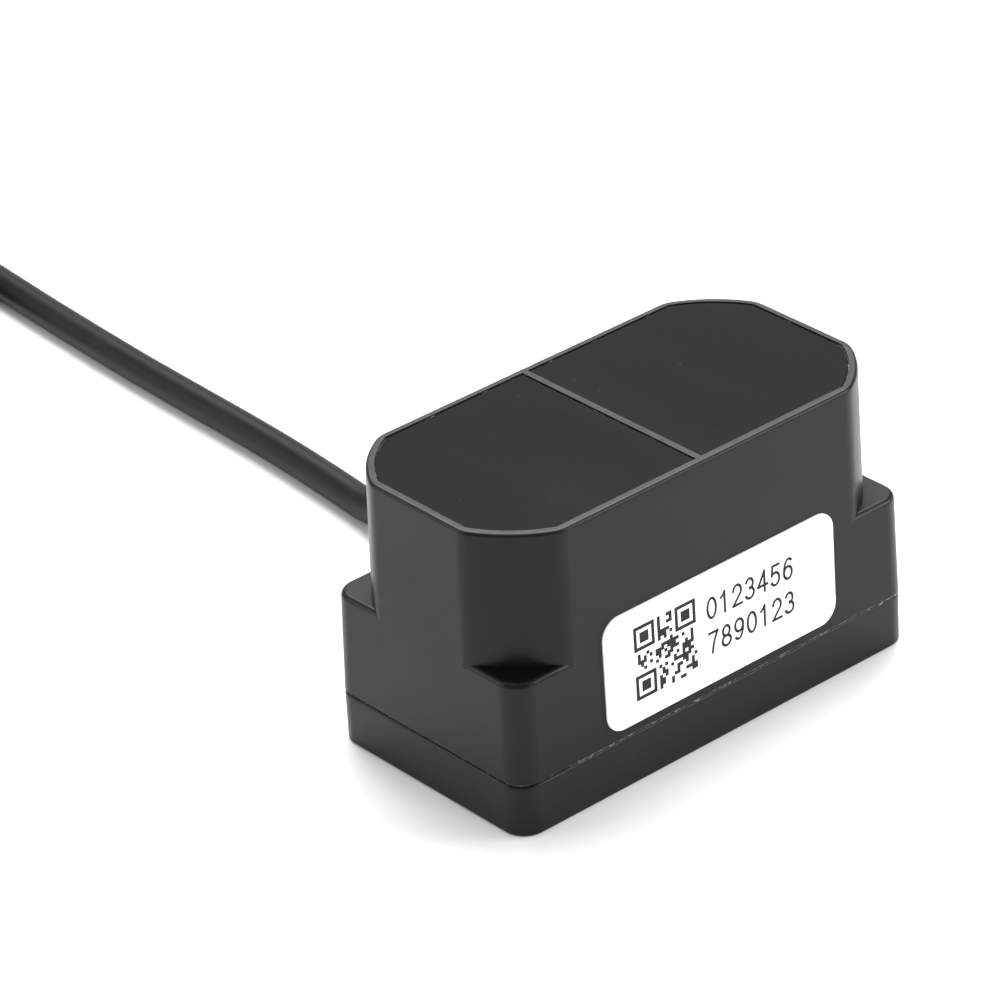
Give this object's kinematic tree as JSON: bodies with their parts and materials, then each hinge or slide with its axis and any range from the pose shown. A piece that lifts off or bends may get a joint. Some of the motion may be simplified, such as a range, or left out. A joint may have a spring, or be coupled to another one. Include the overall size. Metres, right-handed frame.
{
  "type": "lidar distance sensor",
  "caption": "Compact black distance sensor module: stepped moulded housing, twin flat infrared windows on the front, printed side label and a thin lead with a small connector.",
  "frame": {"origin": "middle of the base cover's flat underside, with the lead left out", "axes": "+X along the length from the emitter window to the receiver window, +Y out of the long side that the lead leaves, +Z along the ranging direction, out through the windows"},
  "size_m": [0.0516, 0.1338, 0.021],
  "materials": {
    "housing_plastic": "fine satin moulded texture",
    "infrared_window": "smooth, dark, passes infrared",
    "steel": "zinc plated",
    "black_rubber": "matt",
    "black_foam": "open texture",
    "white_tape": "matt",
    "barrel_plastic": "dead matt",
    "lens_plastic": "clear, polished",
    "coated_filter": "coated",
    "green_board": "solder resist",
    "chip_epoxy": "moulded epoxy",
    "ferrite": "sintered",
    "capacitor_ceramic": "fired",
    "nickel": "drawn can",
    "led_package": "ceramic and clear resin",
    "thermal_pad": "soft",
    "label_film": "white film, printed",
    "nylon": "natural",
    "cable_jacket": "semi-gloss",
    "core_red": "smooth",
    "core_black": "smooth",
    "core_white": "smooth",
    "core_green": "smooth"
  },
  "bodies": {
    "root": {"bandpass_filter": "coated_filter", "base_cover": "housing_plastic", "board_screw_1": "steel", "board_screw_2": "steel", "board_screw_3": "steel", "board_screw_4": "steel", "cable_coil": "cable_jacket", "cable_connector": "nylon", "cable_grommet": "black_rubber", "cable_lead": "cable_jacket", "cable_socket": "nylon", "cable_tail": "cable_jacket", "cable_tie": "nylon", "capacitor_1": "capacitor_ceramic", "capacitor_2": "capacitor_ceramic", "cover_screw_1": "steel", "cover_screw_2": "steel", "cover_screw_3": "steel", "cover_screw_4": "steel", "crystal": "nickel", "driver_chip": "chip_epoxy", "emitter_board": "green_board", "emitter_header": "chip_epoxy", "emitter_led": "led_package", "emitter_lens": "lens_plastic", "emitter_lens_ring": "barrel_plastic", "emitter_light_seal": "black_foam", "emitter_window": "infrared_window", "emitter_window_tape": "white_tape", "front_housing": "housing_plastic", "inner_core_black": "core_black", "inner_core_green": "core_green", "inner_core_red": "core_red", "inner_core_white": "core_white", "inner_plug": "nylon", "jacket_sleeve": "black_rubber", "main_board": "green_board", "optics_block": "barrel_plastic", "outer_core_black": "core_black", "outer_core_green": "core_green", "outer_core_red": "core_red", "outer_core_white": "core_white", "power_inductor": "ferrite", "processor_chip": "chip_epoxy", "product_label": "label_film", "receiver_board": "green_board", "receiver_header": "chip_epoxy", "receiver_lens": "lens_plastic", "receiver_lens_ring": "barrel_plastic", "receiver_light_seal": "black_foam", "receiver_sensor": "chip_epoxy", "receiver_shield": "nickel", "receiver_window": "infrared_window", "receiver_window_tape": "white_tape", "seam_gasket": "black_rubber", "thermal_pad": "thermal_pad"}
  },
  "joints": []
}
